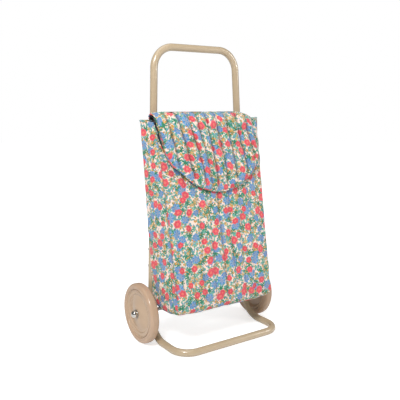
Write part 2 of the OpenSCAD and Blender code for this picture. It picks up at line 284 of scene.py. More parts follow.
# %% Motifs in cells
def motif(tree, cloth, cell, radius, share, petals, depth, stretch, shift, spread):
    """A scattered motif, in millimetres: its mask, how far out a point is, its dice and its angle.

    share is how many cells have one, depth is how far its petals are cut in, stretch makes it
    longer than wide, shift moves the pattern, and spread is how irregular the cells are.
    """
    moved = add(tree, "VectorMath", {0: cloth, 1: (shift, shift * 1.7, 0)}, operation="ADD")
    spot = add(
        tree, "TexVoronoi", {"Vector": moved, "Scale": 1 / cell, "Randomness": spread},
        out="Position", voronoi_dimensions="2D",
    )
    dice = add(tree, "SeparateColor", {0: spot.node.outputs["Color"]}).node.outputs
    away = add(tree, "VectorMath", {0: moved, 1: spot}, operation="SUBTRACT")
    angle = add(tree, "Math", {0: dice[0], 1: 2 * math.pi}, operation="MULTIPLY")
    turned = add(tree, "VectorRotate", {"Vector": away, "Angle": angle}, rotation_type="Z_AXIS")
    shaped = add(tree, "VectorMath", {0: turned, 1: (1, stretch, 0)}, operation="MULTIPLY")
    reach = add(tree, "VectorMath", {0: shaped}, out="Value", operation="LENGTH")
    size = add(tree, "MapRange", {"Value": dice[1], "To Min": 0.78 * radius, "To Max": 1.12 * radius})
    parts = add(tree, "SeparateXYZ", {0: shaped}).node.outputs
    turn = add(tree, "Math", {0: parts[1], 1: parts[0]}, operation="ARCTAN2")
    steps = add(tree, "Math", {0: turn, 1: float(petals)}, operation="MULTIPLY")
    waves = add(tree, "Math", {0: steps}, operation="COSINE")
    lobes = add(tree, "Math", {0: waves, 1: depth, 2: 1.0}, operation="MULTIPLY_ADD")
    size = add(tree, "Math", {0: size, 1: lobes}, operation="MULTIPLY")
    out = add(tree, "Math", {0: reach, 1: size}, operation="DIVIDE")
    inside = add(tree, "MapRange", {"Value": out, "From Min": 1.08, "From Max": 0.92})
    there = add(tree, "Math", {0: dice[2], 1: share}, operation="LESS_THAN")
    mask = add(tree, "Math", {0: inside, 1: there}, operation="MULTIPLY")
    return mask, out, dice, turn


def ink(tree, under, mask, colour):
    """Prints a colour over what is under it, where the mask is."""
    return add(tree, "Mix", {0: mask, 6: under, 7: colour}, out=2, data_type="RGBA")


def plain_weave(tree, cloth, scale, wander):
    """The height of threads that cross at right angles, from 0 to 2."""
    threads = [
        add(
            tree, "TexWave", {"Vector": cloth, "Scale": scale, "Distortion": wander},
            out="Fac", bands_direction=way,
        )
        for way in ("X", "Y")
    ]
    return add(tree, "Math", {0: threads[0], 1: threads[1]}, operation="ADD")


# cell, radius, share, petals, depth, stretch, shift, two colours
SMALL_MOTIFS = (
    (5.9, 2.75, 0.82, 2, 0.15, 1.6, 11.0, "56A08C", "7DBAA8"),  # teal leaves
    (7.1, 3.2, 0.78, 3, 0.3, 1.25, 47.0, "48937F", "70B2A0"),  # bigger teal leaves
    (5.2, 1.7, 0.6, 2, 0.1, 1.5, 83.0, "7C9CC8", "5E93A8"),  # pale blue specks
    (11.5, 4.4, 0.45, 6, 0.55, 1.0, 29.0, "2C7A59", "3D8B6C"),  # dark green sprigs
    (9.0, 2.5, 0.38, 5, 0.5, 1.0, 61.0, "CB9A54", "D9B072"),  # ochre sprays
    (5.4, 1.45, 0.62, 1, 0.0, 1.2, 97.0, "C2842F", "D3994A"),  # ochre buds
)


def flower_print(name, shift):
    """Cotton poplin with the flower print. shift moves the print, in millimetres."""
    material, tree = start_finish(name)
    metres = add(tree, "UVMap", uv_map="cloth")
    cloth = add(tree, "VectorMath", {0: metres, "Scale": 1 / mm}, operation="SCALE")
    wobble = add(tree, "TexNoise", {"Vector": cloth, "Scale": 0.35, "Detail": 1.0}, out="Color")
    centred = add(tree, "VectorMath", {0: wobble, 1: (0.5, 0.5, 0.5)}, operation="SUBTRACT")
    bent = add(tree, "VectorMath", {0: centred, 1: (2.4, 2.4, 0), 2: cloth}, operation="MULTIPLY_ADD")
    shifted = add(tree, "VectorMath", {0: bent, 1: (shift, shift, 0)}, operation="ADD")

    colour = srgb("F6DDCF")
    for cell, radius, share, petals, depth, stretch, move, dark, light in SMALL_MOTIFS:
        mask, _, dice, _ = motif(
            tree, shifted, cell, radius, share, petals, depth, stretch, move, spread=0.95,
        )
        colour = ink(tree, colour, mask, ink(tree, srgb(dark), dice[1], srgb(light)))
    # blue flowers, streaked with ochre and a deeper blue from the heart outwards
    mask, out, dice, turn = motif(tree, shifted, 23.0, 7.6, 0.72, 6, 0.13, 1.22, 37.0, spread=0.85)
    rays = add(tree, "Math", {0: turn, 1: 6.0}, operation="MULTIPLY")
    streaks = add(tree, "Math", {0: rays}, operation="SINE")
    near = add(tree, "MapRange", {"Value": out, "From Min": 0.85, "From Max": 0.25})
    ochre = add(tree, "MapRange", {"Value": streaks, "From Min": 0.25, "From Max": 0.6, "To Max": 0.75})
    deep = add(tree, "MapRange", {"Value": streaks, "From Min": -0.2, "From Max": -0.7, "To Max": 0.8})
    petal = ink(tree, srgb("5B95CB"), dice[1], srgb("76A8D5"))
    petal = ink(tree, petal, deep, srgb("4A80B8"))
    petal = ink(tree, petal, add(tree, "Math", {0: ochre, 1: near}, operation="MULTIPLY"), srgb("CDA468"))
    colour = ink(tree, colour, mask, petal)
    # coral flowers with a darker inner ring and an orange heart
    mask, out, dice, _ = motif(tree, shifted, 23.5, 6.8, 0.8, 6, 0.08, 1.15, 71.0, spread=0.85)
    ring = add(tree, "Math", {0: out, 1: 0.55, 2: 0.09}, operation="COMPARE")
    heart = add(tree, "MapRange", {"Value": out, "From Min": 0.45, "From Max": 0.15, "To Max": 0.55})
    petal = ink(tree, ink(tree, srgb("E55260"), dice[1], srgb("EC6671")), ring, srgb("D84B5A"))
    colour = ink(tree, colour, mask, ink(tree, petal, heart, srgb("E8936C")))

    # the stitched gutters of the quilting are deep in shade
    gutter = add(tree, "Attribute", out="Fac", attribute_name="gutter")
    colour = ink(tree, colour, gutter, srgb("5A433D"))
    weave = plain_weave(tree, cloth, 0.35, 0.4)
    crease = add(tree, "TexNoise", {"Vector": cloth, "Scale": 0.11, "Detail": 3.0, "Roughness": 0.6})
    relief = add(tree, "Math", {0: crease, 1: 5.0, 2: weave}, operation="MULTIPLY_ADD")
    bump = add(tree, "Bump", {"Strength": 0.5, "Distance": 0.16 * mm, "Height": relief})
    thread = add(tree, "MapRange", {"Value": weave, "From Max": 2.0, "To Min": 0.78, "To Max": 0.92})
    end_finish(
        tree, Base_Color=colour, Roughness=thread, Normal=bump, Sheen_Weight=0.15,
        Sheen_Roughness=0.5, Specular_IOR_Level=0.25,
    )
    return material


bag_cotton = flower_print("flower-printed cotton poplin", 0.0)
flap_cotton = flower_print("flower-printed cotton poplin of the flap", 173.0)
print("prints:", bag_cotton.name, "with", len(bag_cotton.node_tree.nodes), "nodes")


# %% [markdown]
# ## Lining, and hook and loop
# The lining is woven cotton coloured near black as painted shade: its dark colour stands in for
# the deep shade inside the mouth under the flap. The closing patches are woven nylon tape: stiff
# hooks in rows on one, felted loops on the other, both a mesh of points about 1.2 mm apart.

# %% Lining and closing tape
# painted shade: the lining's near-black colours stand in for the shade inside the bag and under the flap
lining_cotton, tree = start_finish("woven lining cotton darkened as painted shade")
metres = add(tree, "UVMap", uv_map="cloth")
weave = plain_weave(tree, metres, 1 / (3 * mm), 0.6)
colour = add(tree, "Mix", {0: weave, 6: srgb("2A2A33"), 7: srgb("34343D")}, out=2, data_type="RGBA")
bump = add(tree, "Bump", {"Strength": 0.4, "Distance": 0.15 * mm, "Height": weave})
end_finish(tree, Base_Color=colour, Roughness=0.9, Normal=bump, Sheen_Weight=0.1)

closing_tape, tree = start_finish("woven nylon hook and loop tape")
place = add(tree, "TexCoord", out="Object")
hooks = add(tree, "TexVoronoi", {"Vector": place, "Scale": 1 / (1.2 * mm), "Randomness": 0.35})
colour = add(tree, "Mix", {0: hooks, 6: srgb("D8C8B0"), 7: srgb("B7A58C")}, out=2, data_type="RGBA")
bump = add(tree, "Bump", {"Strength": 0.8, "Distance": 0.5 * mm, "Height": hooks})
end_finish(tree, Base_Color=colour, Roughness=0.75, Normal=bump)
print("more finishes:", lining_cotton.name, "and", closing_tape.name)

# %% [markdown]
# ## Finishes on the solids
# A solid whose shape is right stays as it is, and it takes the finish of its part.

# %% Put finishes on the solids
solid_finish = {
    "handle_tube": powder_coat, "base_tube": powder_coat,
    "left_joint_plug": dark_nylon, "right_joint_plug": dark_nylon,
    "joint_screws": zinc, "axle": zinc, "axle_washers": zinc,
    "left_spacer": dark_nylon, "right_spacer": dark_nylon,
    "left_axle_cap": chrome, "right_axle_cap": chrome,
    "left_bush": amber_nylon, "right_bush": amber_nylon,
    "base_board": card,
}
for name, finish in solid_finish.items():
    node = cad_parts[name]
    node.data.materials.clear()
    node.data.materials.append(finish)
print("solids with a finish:", len(solid_finish))


# %% [markdown]
# ## Modelling helpers
# An operator works on all that is selected, so each step starts by deselecting everything and
# then picks faces, edges or points by where they are. A piece that is done has its place in its
# mesh, a finish, and, where one is given, a body of the trolley to ride on.

# %% Selecting, starting and finishing a piece
def start(name, shape, **where):
    """A new primitive with a name, alone in the selection."""
    if bpy.context.object and bpy.context.object.mode != "OBJECT":
        bpy.ops.object.mode_set(mode="OBJECT")
    bpy.ops.object.select_all(action="DESELECT")
    getattr(bpy.ops.mesh, f"primitive_{shape}_add")(**where)
    piece = bpy.context.object
    piece.name = piece.data.name = name
    return piece


def only(piece):
    """Makes this piece the active and only selected one, in object mode."""
    if bpy.context.object and bpy.context.object.mode != "OBJECT":
        bpy.ops.object.mode_set(mode="OBJECT")
    bpy.ops.object.select_all(action="DESELECT")
    piece.select_set(True)
    bpy.context.view_layer.objects.active = piece


def choose(piece, kind, test):
    """Goes to edit mode with only the VERTs, EDGEs or FACEs selected that pass the test."""
    only(piece)
    mesh = piece.data
    bpy.context.tool_settings.mesh_select_mode = [kind == k for k in ("VERT", "EDGE", "FACE")]
    for part in (mesh.vertices, mesh.edges, mesh.polygons):
        part.foreach_set("select", [False] * len(part))
    places = [v.co for v in mesh.vertices]
    if kind == "VERT":
        for vertex in mesh.vertices:
            vertex.select = test(vertex.co)
    elif kind == "EDGE":
        for edge in mesh.edges:
            a, b = edge.vertices
            if test(places[a], places[b]):
                edge.select = mesh.vertices[a].select = mesh.vertices[b].select = True
    else:
        for face in mesh.polygons:
            face.select = test(face.center, face.normal)
    bpy.ops.object.mode_set(mode="EDIT")


def apply_all(piece):
    """Applies the piece's modifiers, in order."""
    only(piece)
    for modifier in list(piece.modifiers):
        bpy.ops.object.modifier_apply(modifier=modifier.name)


def subdivide_surface(piece, levels=1):
    """Smooths the piece with a subdivision surface, and applies it."""
    modifier = piece.modifiers.new("smooth", "SUBSURF")
    modifier.levels = modifier.render_levels = levels
    apply_all(piece)


def thicken(piece, thickness):
    """Gives a cloth its thickness, inwards from its outer face."""
    modifier = piece.modifiers.new("thickness", "SOLIDIFY")
    modifier.thickness = thickness
    modifier.offset = -1
    apply_all(piece)


def settle(piece, finish, body=None, stands_for=(), sharp=180):
    """Finishes a piece: place in the mesh, shading, finish, body and the solids it replaces."""
    only(piece)
    bpy.ops.object.transform_apply(location=True, rotation=True, scale=True)
    bpy.ops.object.shade_smooth_by_angle(angle=math.radians(sharp))
    piece.data.materials.clear()
    piece.data.materials.append(finish)
    if body:
        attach(piece, body)
    if stands_for:
        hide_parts(*stands_for)
    print(piece.name, "faces:", len(piece.data.polygons))


def places_of(piece):
    """The piece's points as an array."""
    points = np.zeros(len(piece.data.vertices) * 3)
    piece.data.vertices.foreach_get("co", points)
    return points.reshape(-1, 3)


def normals_of(piece):
    """The way out of the piece at each of its points."""
    normals = np.zeros(len(piece.data.vertices) * 3)
    piece.data.vertices.foreach_get("normal", normals)
    return normals.reshape(-1, 3)


def put_places(piece, points):
    """Moves the piece's points."""
    piece.data.vertices.foreach_set("co", np.asarray(points).ravel())
    piece.data.update()


def lay_cloth(piece, flat):
    """Writes the cloth map, in metres, from one (x, y) for each corner of each face."""
    only(piece)
    layer = piece.data.uv_layers.get("cloth") or piece.data.uv_layers.new(name="cloth")
    layer.data.foreach_set("uv", np.asarray(flat).ravel())
    piece.data.uv_layers.active = layer


def note(piece, name, values):
    """Keeps one number for each point, which later cuts and smoothing carry along."""
    layer = piece.data.attributes.new(name, "FLOAT", "POINT")
    layer.data.foreach_set("value", np.asarray(values, dtype=np.float32))


def corners_of(piece):
    """The point of each face corner, and the face that it is in."""
    points = np.zeros(len(piece.data.loops), int)
    piece.data.loops.foreach_get("vertex_index", points)
    sides = np.zeros(len(piece.data.polygons), int)
    piece.data.polygons.foreach_get("loop_total", sides)
    return points, np.repeat(np.arange(len(sides)), sides)


def mix(a, b, t):
    """From a to b as t goes from 0 to 1."""
    return a + (b - a) * t


def ease(a, b, t):
    """0 before a and 1 after b, with a smooth step between."""
    t = np.clip((t - a) / (b - a), 0, 1)
    return t * t * (3 - 2 * t)


# %% [markdown]
# ## Padding by simulation
# Wadding under stitched cloth swells between its seams and puckers along them. The same happens
# when a sheet is pinned along its seams, let grow by a few per cent, and blown up a little from
# the inside. The swell is then capped, so that it stays as thin as real quilting.

# %% Let a sheet swell between its seams
def swell(piece, seams, pressure, growth, cap, steps=20):
    """Blows the sheet up between its pinned seams, and moves each point at most cap metres."""
    rest = places_of(piece)
    group = piece.vertex_groups.new(name="seams")
    group.add([int(i) for i in seams], 1.0, "REPLACE")
    only(piece)
    cloth = piece.modifiers.new("padding", "CLOTH")
    cloth.settings.vertex_group_mass = "seams"
    cloth.settings.effector_weights.gravity = 0
    cloth.settings.use_pressure = True
    cloth.settings.uniform_pressure_force = pressure
    cloth.settings.shrink_min = -growth
    cloth.settings.mass = 0.15
    cloth.settings.bending_stiffness = 0.3
    cloth.collision_settings.use_collision = False
    cloth.point_cache.frame_end = steps
    for step in range(1, steps + 1):
        bpy.context.scene.frame_set(step)
    bpy.ops.object.modifier_apply(modifier=cloth.name)
    bpy.context.scene.frame_set(1)
    piece.vertex_groups.clear()
    moved = places_of(piece) - rest
    far = np.linalg.norm(moved, axis=1, keepdims=True)
    put_places(piece, rest + moved * cap * np.tanh(far / cap) / np.maximum(far, 1e-9))
    print(piece.name, "swelled by up to", round(float(far.max()) / mm, 2), "mm")


# %% [markdown]
# ## The bag's shape
# The bag hangs flat against the uprights and opens forward to its bottom, like a wedge. Its
# back is wider than its front, both flare to the mouth, and its sides are a little waisted where
# the cloth pulls in. Its sole hangs in a shallow belly with soft corners, and at the mouth the
# right front corner stands up a little while the left one droops. It starts as a cube without a
# top, cut into a grid of cells 3 to 7 mm wide, so that the cloth can fold. One function then
# gives each point of that grid its place.

# %% Where each point of the bag goes
bag_low, bag_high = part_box("bag_shell")
mouth_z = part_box("mouth_binding")[1].z
BACK_HALF = (109.5 * mm, bag_high.x + 1.5 * mm)
FRONT_HALF = (103.6 * mm, 110.5 * mm)
BACK_Y = (21.7 * mm, bag_high.y)
FRONT_Y = (bag_low.y, 1.3 * mm)
WAIST = 0.5 * mm
BELLY = 3.0 * mm
CORNER = 3 * mm
BACK_TUCK, FRONT_TUCK = 4 * mm, 4.5 * mm  # how far the sides draw in at the sole
BACK_DRAW, FRONT_DRAW = 2.5 * mm, 4 * mm  # how far the back and the front do
TUCK_HEIGHT = 18 * mm
SOLE_SAG = 3 * mm
SOLE_BELLY = 6.5 * mm
EAR, DROOP = 3 * mm, 4 * mm
HALF_WIDE, HALF_DEEP = 110 * mm, 30 * mm  # the rough bag that its round corners are worked out on


def bag_place(unit, inset=0.0):
    """Places of points in a unit cube, -1 to 1 across and 0 to 1 back to front and up."""
    across, forward, up = unit[:, 0], unit[:, 1], unit[:, 2]
    # round the upright edges
    x, y = across * HALF_WIDE, (forward - 0.5) * 2 * HALF_DEEP
    core_x = np.clip(x, CORNER - HALF_WIDE, HALF_WIDE - CORNER)
    core_y = np.clip(y, CORNER - HALF_DEEP, HALF_DEEP - CORNER)
    off = np.stack([x - core_x, y - core_y], 1)
    far = np.maximum(np.linalg.norm(off, axis=1), 1e-9)
    square = np.maximum(np.abs(off[:, 0]), np.abs(off[:, 1]))
    off *= (square / far)[:, None]
    across = (core_x + off[:, 0]) / HALF_WIDE
    forward = ((core_y + off[:, 1]) / HALF_DEEP + 1) / 2
    # draw the sides in towards the sole
    height = bag_high.z - bag_low.z
    curve = np.clip(1 - up * height / TUCK_HEIGHT, 0, 1) ** 1.7
    tight = np.clip(1 - up * height / (0.4 * TUCK_HEIGHT), 0, 1) ** 2
    waist = WAIST * np.sin(math.pi * np.clip(up, 0, 1)) ** 1.2
    half = mix(mix(*BACK_HALF, up), mix(*FRONT_HALF, up), forward) - waist - inset
    half -= mix(BACK_TUCK * curve, FRONT_TUCK * tight, forward)
    back = mix(*BACK_Y, up) - BACK_DRAW * curve - inset
    front = mix(*FRONT_Y, up) - BELLY * np.sin(math.pi * up) * (1 - across**2 * 0.6)
    front += FRONT_DRAW * tight + inset
    z = bag_low.z + inset + up * (mouth_z - bag_low.z - inset)
    z += EAR * ease(0.5, 1.0, across) * ease(0.4, 1.0, forward) * ease(0.9, 1.0, up)
    z -= DROOP * ease(0.5, 1.0, -across) * ease(0.1, 0.9, forward) * ease(0.85, 1.0, up)
    near_sole = ease(0.14, 0.0, up)
    sag = SOLE_SAG * (1 - across**6) * ease(-0.4, 0.8, forward) * near_sole
    sag += SOLE_BELLY * np.sin(math.pi * np.clip(forward, 0, 1)) ** 0.8 * near_sole
    return np.stack([across * half, mix(back, front, forward), z - sag], 1)


print("bag from", round(bag_low.z / mm), "to", round(mouth_z / mm), "mm above the floor")


# %% A cube with no top, cut into a grid
def bag_grid(name, cuts):
    """An open cube from -1 to 1, 0 to 1 and 0 to 1, cut as often as said along each axis."""
    piece = start(name, "cube", size=1)
    choose(piece, "FACE", lambda place, normal: normal.z > 0.5)
    bpy.ops.mesh.delete(type="FACE")
    for axis in range(3):
        choose(piece, "EDGE", lambda a, b: abs(a[axis] - b[axis]) > 0.5)
        bpy.ops.mesh.subdivide(number_cuts=cuts[axis])
    bpy.ops.object.mode_set(mode="OBJECT")
    unit = places_of(piece) * (2, -1, 1) + (0, 0.5, 0.5)
    normals = np.zeros(len(piece.data.polygons) * 3)
    piece.data.polygons.foreach_get("normal", normals)
    return piece, unit, normals.reshape(-1, 3)


def lay_bag_cloth(piece, shape, normals):
    """The cloth map of a bag: front, back, two gussets and a sole, each cut from fresh cloth."""
    points, faces = corners_of(piece)
    x, y, z = shape[points].T
    face = normals[faces]
    flat = np.stack([x, z], 1)
    flat[face[:, 1] > 0.5] += (0.611, 0.037)
    side = np.abs(face[:, 0]) > 0.5
    flat[side] = np.stack([1.1 * y + 1.3 + 0.4 * (x > 0), z + 0.013], 1)[side]
    under = face[:, 2] < -0.5
    flat[under] = np.stack([x, y + 2.4], 1)[under]
    lay_cloth(piece, flat)


# %% [markdown]
# ## The quilted cover
# Outer cloth, thin wadding and lining are stitched through in upright channels about 24 mm
# apart, and the panels are sewn together at the corners. On the front the channels are soft.
# The seams are pinned and the cloth between them swells, a row of puffs is added on top, and the
# corner seams are drawn in. Last the cover gets its thickness.

# %% Cover
cover, unit, normals = bag_grid("bag_cover", (75, 12, 48))
shape = bag_place(unit)
lay_bag_cloth(cover, shape, normals)
CHANNEL = 24.5 * mm
SPREAD = 115 * mm  # half of the panel's width, laid flat
BACK_PUFF, FRONT_PUFF = 1.0 * mm, 1.7 * mm
SIDE_GROOVE, FRONT_GROOVE = 1.0 * mm, 1.2 * mm
inner = ease(1.0, 0.9, np.abs(unit[:, 0]))
column = unit[:, 0] * SPREAD
is_front, is_back = unit[:, 1] > 0.99, unit[:, 1] < 0.01
nearest = np.abs(column / CHANNEL - np.round(column / CHANNEL)) * CHANNEL
channel = (is_front | is_back) & (nearest < 1.3 * mm) & (np.abs(unit[:, 0]) < 0.93)
corner = (np.abs(unit[:, 0]) > 0.999) & (is_front | is_back) & (unit[:, 2] > 0.07)
rim = unit[:, 2] > 0.999
sole_seam = (unit[:, 2] < 0.001) & ((np.abs(unit[:, 0]) > 0.999) | is_front | is_back)
wander = np.sin(unit[:, 2] * 9 + column * 55) * 1.5 * mm
shape[:, 0] += wander * (is_front | is_back) * inner
put_places(cover, shape)
swell(cover, np.nonzero(channel | corner | rim | sole_seam)[0], pressure=2.0, growth=0.03, cap=1.8 * mm)
swollen = places_of(cover)
puff = np.abs(np.sin(math.pi * column / CHANNEL)) ** 0.6 * inner
puff *= ease(0.0, 0.1, unit[:, 2]) * ease(1.0, 0.97, unit[:, 2])
uneven = 0.8 + 0.35 * np.sin(unit[:, 2] * 14 + column * 210)
swollen[:, 1] += puff * uneven * (BACK_PUFF * is_back - FRONT_PUFF * is_front)
swollen[:, 0] -= np.sign(unit[:, 0]) * corner * SIDE_GROOVE
swollen[:, 1] += corner * is_front * FRONT_GROOVE
put_places(cover, swollen)
# painted shade: the front's stitched channels and its front corner seams are darkened where shade falls in
# them
stitched = 0.55 * (1 - puff) ** 3 * is_front * inner * ease(0.0, 0.1, unit[:, 2])
note(cover, "gutter", stitched + 0.4 * (corner & is_front))
subdivide_surface(cover)

# %% Hem round the mouth
def edge_roll(source, name, test, radius):
    """A roll of cloth along the source's open edges that pass the test, as a new piece."""
    only(source)
    uses = {}
    for face in source.data.polygons:
        for key in face.edge_keys:
            uses[key] = uses.get(key, 0) + 1
    bpy.ops.object.duplicate()
    roll = bpy.context.object
    roll.name = roll.data.name = name
    open_edges = {tuple(sorted(key)) for key, count in uses.items() if count == 1}
    mesh = roll.data
    bpy.context.tool_settings.mesh_select_mode = (False, True, False)
    for part in (mesh.vertices, mesh.edges, mesh.polygons):
        part.foreach_set("select", [False] * len(part))
    for edge in mesh.edges:
        a, b = (mesh.vertices[i] for i in edge.vertices)
        if tuple(sorted(edge.vertices)) in open_edges and test(a.co, b.co):
            edge.select = a.select = b.select = True
    bpy.ops.object.mode_set(mode="EDIT")
    bpy.ops.mesh.select_all(action="INVERT")
    bpy.ops.mesh.delete(type="EDGE")
    bpy.ops.mesh.select_all(action="SELECT")
    bpy.ops.mesh.delete(type="ONLY_FACE")
    bpy.ops.object.mode_set(mode="OBJECT")
    bpy.ops.object.convert(target="CURVE")
    roll = bpy.context.object
    roll.data.bevel_depth = radius
    roll.data.bevel_resolution = 2
    roll.data.use_fill_caps = True
    bpy.ops.object.convert(target="MESH")
    roll = bpy.context.object
    roll.name = roll.data.name = name
    return roll


def lay_roll_cloth(roll):
    """Bias-cut cloth along a roll, mapped from the front and skewed by depth."""
    points, _ = corners_of(roll)
    x, y, z = places_of(roll)[points].T
    lay_cloth(roll, np.stack([x + 0.35 * y + 3.1, z - 0.6 * y], 1))


hem = edge_roll(cover, "mouth_hem", lambda a, b: min(a.z, b.z) > mouth_z - 2 * mm, 1.5 * mm)
lay_roll_cloth(hem)
hem_places = places_of(hem)
hem_places[:, 2] -= 1.3 * mm
put_places(hem, hem_places)
settle(hem, bag_cotton, "frame", ["mouth_binding"])

thicken(cover, 3.2 * mm)
settle(cover, bag_cotton, "frame", ["bag_shell"])

# %% [markdown]
# ## The lining
# The lining is the same bag again, one layer further in. It is a single cloth, so it is only
# given the thickness of cloth, and it creases a little more than the outside.

# %% Lining
lining, unit, normals = bag_grid("bag_lining_cloth", (40, 12, 50))
shape = bag_place(unit, inset=5.4 * mm)
lay_bag_cloth(lining, shape, normals)
crease = np.sin(unit[:, 0] * 17 + unit[:, 2] * 5) * np.sin(unit[:, 2] * 11) * 0.8 * mm
shape[:, 1] += crease * ease(1.0, 0.8, unit[:, 2]) * (unit[:, 1] > 0.99)
shape[:, 2] -= 1.2 * mm * (unit[:, 2] > 0.9)
put_places(lining, shape)
thicken(lining, 0.7 * mm)
# the lining's near-black colour is painted shade for the inside of the mouth
settle(lining, lining_cotton, "frame", ["bag_lining"])

# %% [markdown]
# ## The flap's shape
# The flap is one padded cloth. It is sewn to the back of the mouth, arches over it, and hangs
# down the front with a half-round end. In the middle it stands clear of the mouth, but its two
# sides droop and lie on the gussets and on the front. So a point's place is mixed from two
# profiles, one for the middle and one for the sides.

# %% Profiles of the flap, from its hinge down
hinge_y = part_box("flap_top")[1].y
flap_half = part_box("flap_front")[1].x
flap_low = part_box("flap_front")[0]
MIDDLE = [
    (30.5, 396), (28, 400.5), (20, 404.4), (8, 406), (-4, 405.4), (-11.5, 401.5), (-15, 395),
    (-17, 386), (-29.5, flap_low.z / mm),
]
SIDE = [
    (30.5, 396), (28, 400.5), (21, 403), (12, 402.5), (3, 400), (-6, 395), (-11.5, 385),
    (-13.5, 371), (-14.5, 356), (-17, 336), (-25, 288),
]


def profile(points):
    """Lengths along a smoothed profile through the points, and its (y, z) places."""
    line = np.array(points, float) * mm
    steps = np.r_[0, np.cumsum(np.linalg.norm(np.diff(line, axis=0), axis=1))]
    fine = np.linspace(0, steps[-1], 400)
    path = np.stack([np.interp(fine, steps, line[:, i]) for i in (0, 1)], 1)
    for _ in range(60):
        path[1:-1] = (path[:-2] + path[1:-1] * 2 + path[2:]) / 4
    return np.r_[0, np.cumsum(np.linalg.norm(np.diff(path, axis=0), axis=1))], path


def follow(profiled, length):
    """Places at lengths along a profile, and straight on past its end."""
    steps, path = profiled
    return np.stack([np.interp(length, steps, path[:, i]) for i in (0, 1)], 1)


middle, side = profile(MIDDLE), profile(SIDE)
side_run = side[0][-1]
DROP = middle[0][-1]
print("the flap is", round(DROP / mm), "mm long from hinge to end")

# %% [markdown]
# ## The padded flap
# A flat grid is cut to the half-round outline by giving each of its columns its own length, so
# that the stitched channels stay upright and run out at the edge, as they do in cut cloth. The
# channels are deeper here than on the bag, because the flap is gathered into its hinge seam. The
# cloth is skewed too, so each fold leans, more so near the hinge. A lining coloured near black as
# painted shade lies under it, smooth, and slack along the left border, where it shows as the
# shade in the gap between flap and bag.

# %% Flap
FOLDS = [-88, -67, -45, -25, -6, 15, 37, 61, 84]
SKEW_DOWN, SKEW_BY = [0, 30, 48, 75, 107, 145, 176], [-5, -9, -12.5, -8.5, -1, 5, 6]
FLAP_THICK, LINING_THICK, LINING_UNDER = 2.4 * mm, 0.6 * mm, 2.6 * mm
LOW_FOLD, DEEP_FOLD = 1.4 * mm, 5.0 * mm  # depth of the folds at the hinge and below the arch
SHADE_SLACK = 2.8 * mm
random.seed(7)
flap = start("flap_padding", "grid", x_subdivisions=120, y_subdivisions=60, size=2)
grid = places_of(flap)
straight = DROP - flap_half
across = mix(grid[:, 0], np.sin(grid[:, 0] * math.pi / 2), 0.6)
end = across + 0.13 * np.sin(math.pi * np.clip((-across - 0.1) / 0.9, 0, 1))
length = straight + np.sqrt(np.clip(1 - end**2, 0, 1)) * (DROP - straight)
down = (1 - grid[:, 1]) / 2 * length
points, _ = corners_of(flap)
lay_cloth(flap, np.stack([across[points] * 0.108 + 4.2, -down[points]], 1))

edge = ease(0.8, 1.0, np.abs(across)) * ease(170 * mm, 110 * mm, down)
yz = follow(middle, down) * (1 - edge)[:, None] + follow(side, np.minimum(down, side_run)) * edge[:, None]
x = mix(across, end, ease(0.2, 1.0, down / length)) * flap_half
x *= 1 - 0.02 * ease(48 * mm, 20 * mm, down)
x *= 1 - 0.045 * np.sin(math.pi * np.clip((down - 22 * mm) / (100 * mm), 0, 1))
x += np.interp(down / mm, SKEW_DOWN, SKEW_BY) * mm
z = yz[:, 1] + 2.5 * mm * ease(0.6, 1.0, -across) * ease(0, 12 * mm, down) * ease(42 * mm, 24 * mm, down)
y = yz[:, 0] - 2 * mm * ease(0.85, 1.0, down / length)
put_places(flap, np.stack([x, y, z], 1))

# its lining follows the smooth cloth, before the folds, and is slack along the left border, where its
# near-black painted shade shows in the gap between flap and bag
only(flap)
bpy.ops.object.duplicate()
flap_lining = bpy.context.object
# painted shade: the slack lets the dark lining show as the shade of the gap by the flap's left border
shade_slack = edge * ease(8 * mm, 20 * mm, down) * ease(90 * mm, 60 * mm, down) * (across < 0)
under = LINING_UNDER + SHADE_SLACK * shade_slack
put_places(flap_lining, places_of(flap_lining) - normals_of(flap_lining) * under[:, None])
thicken(flap_lining, LINING_THICK)

columns = np.unique(np.round(across, 5))
wanted = [(f + random.uniform(-2, 2)) * mm / flap_half for f in FOLDS]
fold_columns = [columns[np.argmin(np.abs(columns - f))] for f in wanted]
in_fold = np.min(np.abs(across[:, None] - np.array(fold_columns)), axis=1) < 1e-4
border = (np.abs(grid[:, 0]) > 0.999) | (np.abs(grid[:, 1]) > 0.999)
swell(flap, np.nonzero(in_fold | border)[0], pressure=4.0, growth=0.05, cap=2.0 * mm)
only(flap)
ends = [-1.0, *fold_columns, 1.0]
phase = np.interp(across, ends, range(len(ends)))
uneven = 1 + 0.25 * np.sin(down * 70 + np.floor(phase) * 2.3)
puff = np.abs(np.sin(math.pi * phase)) ** 0.5 * uneven
height = mix(LOW_FOLD, DEEP_FOLD, ease(34 * mm, 62 * mm, down)) * ease(0, 8 * mm, down)
height = height * ease(1.0, 0.94, down / length)
put_places(flap, places_of(flap) + normals_of(flap) * (puff * height)[:, None])
# painted shade: the flap's fold valleys are darkened where shade falls in them
valley = np.clip(1 - 2.4 * np.abs(np.sin(math.pi * phase)), 0, 1)
note(flap, "gutter", 0.75 * valley * ease(20 * mm, 50 * mm, down) * ease(1.0, 0.9, down / length))
subdivide_surface(flap)
print("flap folds at", [round(float(c) * 103) for c in fold_columns], "mm")

# %% [markdown]
# ## Splitting the flap for its two hinges
# The cloth bends at its hinge seam and again at its fold, and a piece can bend only between two
# bodies. So the flap is cut across the top of its arch into two pieces with the same rim, which
# meet there.

# %% Edge binding, thickness and the cut
binding = edge_roll(flap, "flap_edge_binding", lambda a, b: max(a.y, b.y) < hinge_y - 1 * mm, 1.4 * mm)
lay_roll_cloth(binding)
rolled = places_of(binding)
rolled[:, 2] -= 0.9 * mm * ease(-14 * mm, -8 * mm, rolled[:, 1])
rolled[:, 1] += 0.9 * mm * ease(-8 * mm, -14 * mm, rolled[:, 1])
put_places(binding, rolled)
thicken(flap, FLAP_THICK)

CUT_Y = 8 * mm


